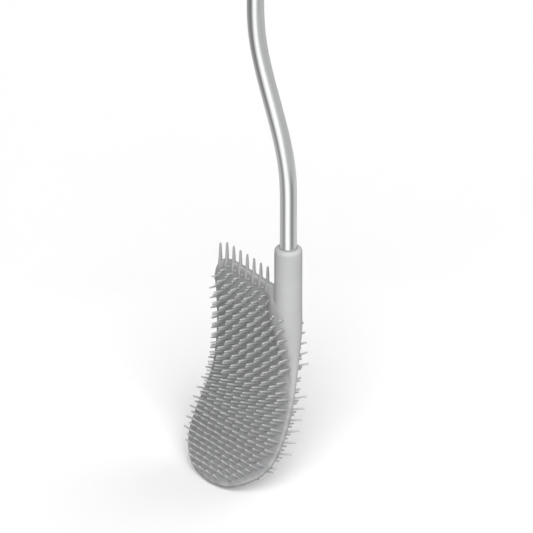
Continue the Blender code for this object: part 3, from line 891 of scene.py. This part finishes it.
# eight stiff tines that stand up from the top edge, each with a foot in front of the blade
comb = {
    "count": 8,
    "firstX": -58.2,
    "pitch": 6.16,
    "sides": 14,
    # distance below the edge, middle n, half depth, half width
    "tine": (
        (6.6, 1.60, 0.20, 0.32), (6.1, 1.62, 0.60, 0.50), (4.8, 1.55, 0.95, 0.62),
        (2.6, 1.35, 1.15, 0.72), (0.8, 1.05, 1.20, 0.80), (-0.8, 0.80, 1.14, 0.80),
        (-3.0, 0.75, 1.02, 0.72), (-6.0, 0.75, 0.86, 0.62), (-8.0, 0.75, 0.72, 0.54),
        (-8.8, 0.75, 0.60, 0.48), (-9.2, 0.75, 0.36, 0.32), (-9.3, 0.75, 0.10, 0.10)),
    "raised": (1.3, 1.1, 0.2, 0, 0, 0, 0, 0),  # how much higher than the others each tine stands
    "topReach": 12,  # the outline above this t is the top edge
    "barHalfDepth": 1.15,
    "barHeight": 0.3,
    "barRoot": 0.9,
    "barFoot": -0.6,
    "barOverhang": 1.2,
    "barTaper": 0.55,
    "barTaperPower": 12,  # the higher, the closer to its ends the bar begins to narrow
    "barSteps": 48,
    "barSides": 16,
}


def topEdge(x):
    # how far below the top edge's level the outline lies at x
    best = 0.0
    for a, b in zip(outline, outline[1:] + outline[:1]):
        high = max(a.y, b.y) < comb["topReach"]
        if high and (a.x - x) * (b.x - x) <= 0 and a.x != b.x:
            best = max(best, a.y + (b.y - a.y) * (x - a.x) / (b.x - a.x))
    return best


def tineUnit():
    turn = 2 * math.pi / comb["sides"]
    loops = [[Vector((wide * math.cos(i * turn), -n - deep * math.sin(i * turn), -down)) * mm
              for i in range(comb["sides"])] for down, n, deep, wide in comb["tine"]]
    return facingOut(newPiece("tineUnit", *loft(loops)))


def tineTree():
    # a tine on every point, and the bar below them
    tree, given = newTree("tineRow", {"Tine": "Object", "Material": "Material", "Bar": "Object"})
    unit = addNode(tree, "GeometryNodeObjectInfo", {}, {"Object": given["Tine"]}, 4)
    placed = addNode(tree, "GeometryNodeInstanceOnPoints", {}, {
        "Points": given["Geometry"], "Instance": unit})
    bar = addNode(tree, "GeometryNodeObjectInfo", {}, {"Object": given["Bar"]}, 4)
    both = tree.nodes.new("GeometryNodeJoinGeometry")
    plug(tree, both.inputs[0], placed)
    plug(tree, both.inputs[0], bar)
    endTree(tree, Wire(tree, both.outputs[0]), given["Material"])
    return tree


def combBar():
    # the strip that the tines grow from, rounded on top and at its ends
    first, over, root = comb["firstX"], comb["barOverhang"], comb["barRoot"]
    steps, sides = comb["barSteps"], comb["barSides"]
    half, height = comb["barHalfDepth"], comb["barHeight"]
    last = first + comb["pitch"] * (comb["count"] - 1)
    loops = []
    for i in range(steps + 1):
        x = first - over + (last + 2 * over - first) * i / steps
        edge = topEdge(x)
        small = 1 - comb["barTaper"] * (abs(i - steps / 2) / (steps / 2)) ** comb["barTaperPower"]
        loops.append([])
        for k in range(sides):
            angle = 2 * math.pi * k / sides
            down = edge + root - (height + root) * small * max(math.sin(angle), comb["barFoot"])
            loops[-1].append(at(*surface(x, down, half * small * math.cos(angle))))
    return facingOut(newPiece("combBar", *loft(loops)))


def makeComb():
    spots = []
    for i in range(comb["count"]):
        x = comb["firstX"] + comb["pitch"] * i
        spots.append(at(*surface(x, topEdge(x) - comb["raised"][i])))
    row = newPiece("combTines", spots, [])
    unit, bar = tineUnit(), combBar()
    rubber = grainyRubber("combRubber", colours["comb"], 0.56)
    grow(row, tineTree(), {"Tine": unit, "Bar": bar, "Material": rubber.material})
    remove(unit, bar)
    fit(row, "head", "rim_comb")


# an S-bent steel tube, with a hole for the pin at each end
tube = {
    "radius": 4.5,
    "wall": 0.8,
    "bottom": -10.0,
    "top": 283.7,
    "bendStart": 35.0,
    "bendEnd": 123.0,
    "bendSoftness": 4.5,
    "bendSteps": 72,
    "endRounding": 0.25,
    "innerRounding": 0.4,  # share of the outer one
    "sides": 72,
    "pinHole": 1.5,
    "drillPast": 2.0,
    "sharpAngle": 40,
}


def shaftX(z):
    # an even S, with its ends eased over a little more of the tube's length
    start, end, soft = tube["bendStart"], tube["bendEnd"], tube["bendSoftness"]
    return handleX * sum(ease((z + soft * k - start) / (end - start)) for k in (-2, -1, 0, 1, 2)) / 5


def pinHole(node):
    # a cutter along a pin, longer than the tube is wide
    low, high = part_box(node)
    x, z = ((low[0] + high[0]) / 2 - axisX) / mm, heightOf((low[2] + high[2]) / 2)
    return crossBar(node + "Hole", tube["pinHole"], tube["radius"] + tube["drillPast"], x, z)


def makeTube():
    bottom, top, lip = tube["bottom"], tube["top"], tube["endRounding"]
    spread, steps = 2 * tube["bendSoftness"], tube["bendSteps"]
    start, end = tube["bendStart"] - spread, tube["bendEnd"] + spread
    bend = [start + (end - start) * i / steps for i in range(steps + 1)]
    run = [(bottom, -lip), (bottom + lip, 0), *((z, 0) for z in bend), (top - lip, 0), (top, -lip)]
    turn = 2 * math.pi / tube["sides"]
    outer, inner = [], []
    for z, change in run:
        slope = (shaftX(z + 0.1) - shaftX(z - 0.1)) / 0.2
        across = Vector((1, 0, -slope)).normalized()
        bore = tube["radius"] - tube["wall"] - change * tube["innerRounding"]
        for loops, radius in ((outer, tube["radius"] + change), (inner, bore)):
            loops.append([])
            for k in range(tube["sides"]):
                point = Vector((shaftX(z), 0, z)) + across * radius * math.cos(k * turn)
                loops[-1].append(at(point.x, radius * math.sin(k * turn), point.z))
    shaft = facingOut(newPiece("steelTube", *loft(outer + inner[::-1], closed=True)))
    cut(shaft, pinHole("stud_pin"), pinHole("cap_pin"))
    put(shadeSmooth(shaft, tube["sharpAngle"]), drawnSteel("drawnSteel", colours["tubeSteel"], 0.16))
    fit(shaft, "shaft", "shaft_tube")


# the stud of the screw joint, which plugs the tube's foot
stud = {
    "root": 3.0,
    "crest": 3.9,
    "pitch": 3.0,
    "flatRoot": 0.3,  # shares of the pitch
    "flank": 0.2,
    "top": -10.9,
    "bottom": -24.6,
    "tip": ((0.8, 0.0), (0.3, 0.15), (0.0, 0.6)),  # narrower than the root, and above the bottom
    "threadFrom": 0.7,
    "lead": 1.6,  # length over which the thread rises at the stud's tip
    "runOut": 0.8,
    "collar": 4.3,
    "collarGap": 0.3,
    "shank": 3.4,
    "shankTop": 10.0,
    "topInset": 0.6,
    "rounding": 0.12,
    "step": 0.1,
    "sides": 72,
    "sharpAngle": 40,
}


def threadTree():
    # pushes the threaded length of a smooth stud out into a right-hand ridge
    tree, given = newTree("screwThread", {
        "Material": "Material", "Axis X": "Float", "Mouth Z": "Float", "Pitch": "Float", "Rise": "Float",
        "Flat Root": "Float", "Flank": "Float"})
    place = addNode(tree, "GeometryNodeInputPosition")
    x, y, z = threeParts(tree, place)
    x = x - given["Axis X"]
    angle = y.math("ARCTAN2", x)
    turns = ((z - given["Mouth Z"]) / given["Pitch"] - angle / (2 * math.pi)).math("FRACT")
    rising = (turns - given["Flat Root"]) / given["Flank"]
    falling = (1.0 - turns) / given["Flank"]
    ridge = rising.math("MINIMUM", falling).math("MAXIMUM", 0.0).math("MINIMUM", 1.0)
    depth = addNode(tree, "GeometryNodeInputNamedAttribute", {"data_type": "FLOAT"}, {"Name": "depth"})
    out = ridge * depth * given["Rise"]
    push = addNode(tree, "ShaderNodeCombineXYZ", {}, {
        "X": angle.math("COSINE") * out, "Y": angle.math("SINE") * out})
    ridged = addNode(tree, "GeometryNodeSetPosition", {}, {"Geometry": given["Geometry"], "Offset": push})
    endTree(tree, ridged, given["Material"])
    return tree


def studProfile():
    # radius, height, and the share of the thread's rise at each ring
    root, top, bottom, runOut = (stud[key] for key in ("root", "top", "bottom", "runOut"))
    collar, shank, shankTop = stud["collar"], stud["shank"], stud["shankTop"]
    ledge = tube["bottom"] - stud["collarGap"]
    profile = [(root - narrower, bottom + up, 0) for narrower, up in stud["tip"]]
    length = top - bottom - runOut
    steps = round(length / stud["step"])
    for i in range(steps + 1):
        z = bottom + stud["threadFrom"] + length * i / steps
        profile.append((root, z, ease((z - bottom) / stud["lead"]) * ease((top - z) / runOut)))
    upper = ((root, top), (collar, top), (collar, ledge), (shank, ledge), (shank, shankTop),
             (shank - stud["topInset"], shankTop + 0.001))
    soft = softCorners(upper, stud["rounding"], closed=False)
    return profile + [(radius, z, 0) for radius, z in soft]


def makeStud():
    profile, sides = studProfile(), stud["sides"]
    piece = turned("studThread", [(radius, z) for radius, z, depth in profile], sides=sides, closed=False)
    depths = piece.data.attributes.new("depth", "FLOAT", "POINT")
    for i, (radius, z, depth) in enumerate(profile):
        for k in range(sides):
            depths.data[i * sides + k].value = depth
    grow(piece, threadTree(), {
        "Material": mouldedPlastic("hardPlastic", colours["stud"]), "Axis X": axisX, "Mouth Z": mouthZ,
        "Pitch": stud["pitch"] * mm, "Rise": (stud["crest"] - stud["root"]) * mm,
        "Flat Root": stud["flatRoot"], "Flank": stud["flank"]})
    cut(piece, pinHole("stud_pin"))
    shadeSmooth(piece, stud["sharpAngle"])
    fit(piece, "shaft", "thread_stud")


# a turned collar with one groove, below the grip
collar = {
    "bottom": 149.0,
    "top": 156.0,
    "radius": 7.8,
    "bore": 4.8,
    "chamfer": 1.0,
    "grooveDepth": 0.35,
    "grooveAbove": 0.6,  # from the middle
    "grooveHalves": (0.5, 0.3),  # half its width at the skin and at its bottom
    "rounding": 0.22,
}


def makeCollar():
    bottom, top, radius, bore = (collar[key] for key in ("bottom", "top", "radius", "bore"))
    chamfer, deep = collar["chamfer"], radius - collar["grooveDepth"]
    middle = (bottom + top) / 2 + collar["grooveAbove"]
    wide, narrow = collar["grooveHalves"]
    profile = ((bore, bottom), (radius - chamfer, bottom), (radius, bottom + chamfer),
               (radius, middle - wide), (deep, middle - narrow), (deep, middle + narrow),
               (radius, middle + wide), (radius, top), (bore, top))
    piece = turned("steelCollar", softCorners(profile, collar["rounding"]), x=handleX)
    put(piece, drawnSteel("turnedSteel", colours["collarSteel"], 0.22))
    fit(piece, "shaft", "grip_collar")


# a soft sleeve that swells in the hand and has ribs round its middle
grip = {
    "bottom": 156.3,
    "top": 284.4,
    "bore": 7.1,
    "boreRounding": 0.3,
    "radius": 8.8,
    "swell": 2.4,
    "swellFrom": 0.12,  # shares of half a wave
    "swellOver": 0.7,
    "taper": 0.4,
    "ribsFrom": 176.0,
    "ribsTo": 262.0,
    "ribsFade": 12.0,
    "ribPitch": 4.0,
    "ribDepth": 0.45,
    "groovePower": 3,  # the higher, the narrower the grooves between the ribs
    "edge": 0.8,
    "foot": ((7.9, 0.0), (8.3, 0.08), (8.6, 0.35)),  # radius, height above the bottom
    "shoulder": ((0.15, 0.35), (0.5, 0.08)),  # narrower than the grip, below the top
    "topRadius": 8.6,
    "steps": 380,
}


def gripRadius(z):
    low, high = grip["bottom"] + grip["edge"], grip["top"] - grip["edge"]
    u = min(max((z - low) / (high - low), 0), 1)
    wave = math.sin(math.pi * (grip["swellFrom"] + grip["swellOver"] * u))
    swell = grip["radius"] + grip["swell"] * wave - grip["taper"] * u
    fade = ease((z - grip["ribsFrom"]) / grip["ribsFade"]) * ease((grip["ribsTo"] - z) / grip["ribsFade"])
    groove = 0.5 - 0.5 * math.cos(2 * math.pi * (z - grip["ribsFrom"]) / grip["ribPitch"])
    return swell - grip["ribDepth"] * fade * groove ** grip["groovePower"]


def makeGrip():
    low, high, bore, soft = (grip[key] for key in ("bottom", "top", "bore", "boreRounding"))
    edge, steps = grip["edge"], grip["steps"]
    profile = [(bore, high - soft), (bore, low + soft), (bore + soft, low)]
    profile += [(radius, low + up) for radius, up in grip["foot"]]
    for i in range(steps + 1):
        z = low + edge + (high - low - 2 * edge) * i / steps
        profile.append((gripRadius(z), z))
    profile += [(gripRadius(high) - narrower, high - down) for narrower, down in grip["shoulder"]]
    profile += [(grip["topRadius"], high), (bore + soft, high)]
    sleeve = turned("softGrip", profile, x=handleX)
    put(sleeve, grainyRubber("gripRubber", colours["grip"], 0.64, 4200, 0.00005).material)
    fit(sleeve, "shaft", "grip_sleeve")


# a domed cap melted into a rounded eye plate, with a plug that goes down inside the tube
cap = {
    "bottom": 284.7,
    # radius, height above the bottom
    "dome": ((0.5, 0.0), (9.0, 0.0), (9.6, 0.7), (9.4, 2.4), (7.6, 5.2), (4.6, 7.2), (0.5, 7.4)),
    "domeRounding": 0.5,
    "eyeCentre": 295.0,
    "eyeHole": 5.0,
    "eyeOuter": 9.0,
    "eyeHalf": 2.5,
    "eyeRounding": 1.6,
    "eyeSteps": 96,
    "voxel": 0.42,
    "smoothRounds": 4,
    "plugBottom": 262.0,
    "plugRadius": 3.4,
    "plugInner": 0.4,
    "plugInto": 1.5,  # how far it reaches into the dome
    "plugRounding": 0.4,
    "sharpAngle": 45,
}


def capTop():
    profile = [(radius, cap["bottom"] + up) for radius, up in cap["dome"]]
    dome = turned("dome", softCorners(profile, cap["domeRounding"], closed=False), x=handleX, closed=False)
    hole, outer, half = cap["eyeHole"], cap["eyeOuter"], cap["eyeHalf"]
    corners = ((hole, -half), (outer, -half), (outer, half), (hole, half))
    section = softCorners(corners, cap["eyeRounding"], steps=6)
    loops = []
    for i in range(cap["eyeSteps"]):
        angle = 2 * math.pi * i / cap["eyeSteps"]
        loops.append([])
        for radius, y in section:
            out, up = radius * math.cos(angle), radius * math.sin(angle)
            loops[-1].append(at(handleX + out, y, cap["eyeCentre"] + up))
    eye = facingOut(newPiece("eye", *loft(loops, closed=True)))
    top = join("capTop", dome, eye)
    modify(top, "REMESH", mode="VOXEL", voxel_size=cap["voxel"] * mm, use_smooth_shade=True)
    return modify(top, "SMOOTH", factor=0.5, iterations=cap["smoothRounds"])


def makeCap():
    top, inner, radius = capTop(), cap["plugInner"], cap["plugRadius"]
    low, high = cap["plugBottom"], cap["bottom"] + cap["plugInto"]
    corners = ((inner, low), (radius, low), (radius, high), (inner, high))
    profile = softCorners(corners, cap["plugRounding"], closed=False)
    piece = turned("hangingCap", profile, x=handleX, sides=48, closed=False)
    modify(piece, "BOOLEAN", operation="UNION", object=top, solver="MANIFOLD")
    remove(top)
    cut(piece, pinHole("cap_pin"))
    put(shadeSmooth(piece, cap["sharpAngle"]), mouldedPlastic("capPlastic", colours["cap"]))
    fit(piece, "shaft", "end_cap")


# a rubber ring inside the socket's mouth, with the mould's parting line inside and outside
seal = {
    "centre": -2.45,
    "ring": 5.5,
    "cord": 0.6,
    "flash": 0.04,
    "steps": 28,
}


def makeSeal():
    steps, flash = seal["steps"], seal["flash"]
    cord = seal["cord"] - flash
    profile = []
    for i in range(steps):
        angle = 2 * math.pi * i / steps
        proud = flash if i in (0, steps // 2) else 0.0
        profile.append((seal["ring"] + (cord + proud) * math.cos(angle),
                        seal["centre"] + cord * math.sin(angle)))
    piece = turned("mouthSeal", profile)
    put(piece, grainyRubber("sealRubber", colours["seal"], 0.55, 6000).material)
    fit(piece, "seal", "socket_seal")


def finishHidden():
    # the pieces whose shapes come straight from the frame: pins, grip core, blade core, threaded insert
    core = mouldedPlastic("corePlastic", colours["core"])
    pins = drawnSteel("pinSteel", colours["pinSteel"], 0.25)
    finishes = {
        "stud_pin": pins, "cap_pin": pins, "grip_core": core, "blade_core": core,
        "socket_insert": threadBrass()}
    for name, material in finishes.items():
        put(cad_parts[name], material)
    print("hidden:", len(finishes), "pieces finished")


# camera, floor, light, and a screen that only the metal sees
studio = {
    "azimuth": 50.0,
    "elevation": 27.0,
    "lens": 300.0,
    "sensor": 36.0,
    "field": 0.2788,  # width of the view at the target
    "target": (-11.43, -9.99),  # millimetres right of and above the mouth, as the camera sees it
    "world": 0.24,
    "floorSize": 6.0,
    "floorGap": 0.0004,
    "suns": ((54, 41, 4.7), (165, 42, 0.9)),  # azimuth, elevation, strength
    "sunSoftness": 50,
    "tentRadius": 0.25,
    "tentSides": 96,
    "tentBelow": 0.01,
    "tentTop": 0.3,
    "tentStep": 0.10,
    "tentBlend": 0.08,
    # grey of the screen round the object: 0 and 1 are behind it, 0.5 is towards the camera
    "tentLow": (
        (0.0, 0.55), (0.16, 0.63), (0.25, 0.50), (0.325, 0.30), (0.36, 0.40), (0.39, 0.9),
        (0.43, 1.3), (0.51, 1.3), (0.555, 0.80), (0.60, 0.30), (0.63, 0.28), (0.675, 0.40),
        (0.75, 0.67), (0.84, 0.73), (1.0, 0.55)),
    "tentHigh": (
        (0.0, 0.50), (0.16, 0.42), (0.25, 0.22), (0.325, 0.26), (0.38, 0.85), (0.43, 1.3),
        (0.50, 1.2), (0.55, 0.62), (0.62, 0.56), (0.75, 0.56), (0.84, 0.60), (1.0, 0.50)),
}


def towards(azimuth, elevation):
    a, e = math.radians(azimuth), math.radians(elevation)
    return Vector((math.sin(a) * math.cos(e), -math.cos(a) * math.cos(e), math.sin(e)))


def makeFloor():
    lowest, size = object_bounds()[0][2] - studio["floorGap"], studio["floorSize"]
    corners = [(x * size, y * size, lowest) for x, y in ((-1, -1), (1, -1), (1, 1), (-1, 1))]
    floor = newPiece("floor", corners, [(0, 1, 2, 3)])
    finish = Finish("paleFloor", Roughness=0.55)
    seen = finish.mix(finish.noise(3, 2), *colours["floor"])
    direct = finish.add("ShaderNodeLightPath")
    finish.set(Base_Color=finish.mix(direct, colours["floorBounce"], seen))  # little light comes back up
    put(floor, finish.material)
    floor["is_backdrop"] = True


def makeCamera():
    a, e = math.radians(studio["azimuth"]), math.radians(studio["elevation"])
    right = Vector((math.cos(a), math.sin(a), 0))
    up = Vector((-math.sin(a) * math.sin(e), math.cos(a) * math.sin(e), math.cos(e)))
    back = towards(studio["azimuth"], studio["elevation"])
    target = at(0, 0, 0) + (right * studio["target"][0] + up * studio["target"][1]) * mm
    data = bpy.data.cameras.new("camera")
    data.lens = studio["lens"]
    data.sensor_width = studio["sensor"]
    data.clip_end = 50
    camera = bpy.data.objects.new("camera", data)
    bpy.context.scene.collection.objects.link(camera)
    camera.location = target + back * studio["field"] * studio["lens"] / studio["sensor"]
    camera.rotation_euler = back.to_track_quat("Z", "Y").to_euler()
    bpy.context.scene.camera = camera


def makeTent(centre):
    # a round screen: a bright window towards the camera, and darker sides
    sides, radius = studio["tentSides"], studio["tentRadius"]
    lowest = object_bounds()[0][2] - studio["tentBelow"]
    turn = 2 * math.pi / sides
    points = []
    for z in (lowest, studio["tentTop"]):
        for k in range(sides):
            out, along = radius * math.cos(k * turn), radius * math.sin(k * turn)
            points.append(Vector((centre.x + out, centre.y + along, z)))
    faces = [(k, (k + 1) % sides, (k + 1) % sides + sides, k + sides) for k in range(sides)]
    tent = newPiece("reflectionTent", points, faces)
    finish = Finish("tentScreen", Roughness=1.0, Base_Color=(0, 0, 0), Specular_IOR_Level=0.0)
    x, y, z = threeParts(finish.tree, finish.add("ShaderNodeMapping", {}, {
        "Vector": finish.place, "Location": (-centre.x, -centre.y, 0)}))
    a = math.radians(studio["azimuth"])
    across = x * math.cos(a) + y * math.sin(a)
    forward = x * math.sin(a) - y * math.cos(a)
    around = across.math("ARCTAN2", forward) / (2 * math.pi) + 0.5
    rise = (z - lowest - studio["tentStep"]) / studio["tentBlend"]
    low, high = finish.ramp(around, *studio["tentLow"]), finish.ramp(around, *studio["tentHigh"])
    finish.set(Emission_Color=finish.mix(rise, low, high), Emission_Strength=1.0)
    put(tent, finish.material)
    for ray in ("camera", "diffuse", "shadow", "transmission", "volume_scatter"):
        setattr(tent, "visible_" + ray, False)
    tent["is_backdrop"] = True


def makeSky():
    # the backdrop behind the object is plain white, and gives only a little light
    world = bpy.data.worlds.new("studioSky")
    world.use_nodes = True
    tree = world.node_tree
    background = tree.nodes["Background"]
    background.inputs["Color"].default_value = (1, 1, 1, 1)
    seen = addNode(tree, "ShaderNodeLightPath")
    plug(tree, background.inputs["Strength"], seen * (1.0 - studio["world"]) + studio["world"])
    bpy.context.scene.world = world


def makeSuns():
    for i, (azimuth, elevation, strength) in enumerate(studio["suns"]):
        sun = bpy.data.lights.new(f"softSun{i}", "SUN")
        sun.energy = strength
        sun.angle = math.radians(studio["sunSoftness"])
        lamp = bpy.data.objects.new(f"softSun{i}", sun)
        bpy.context.scene.collection.objects.link(lamp)
        lamp.rotation_euler = towards(azimuth, elevation).to_track_quat("Z", "Y").to_euler()


def makeStudio():
    makeCamera()
    makeSky()
    makeFloor()
    makeTent(at(0, 0, 0))
    makeSuns()
    bpy.context.scene.view_settings.view_transform = "Standard"
    print("studio: camera, sky, floor, screen and", len(studio["suns"]), "suns")


body = makeBlade()
makeBristles("frontBristles", 1, body, "front_bristle_pad")
makeBristles("rearBristles", -1, body, "rear_bristle_pad")
makeComb()
makeSeal()
makeTube()
makeStud()
makeCollar()
makeGrip()
makeCap()
finishHidden()
makeStudio()
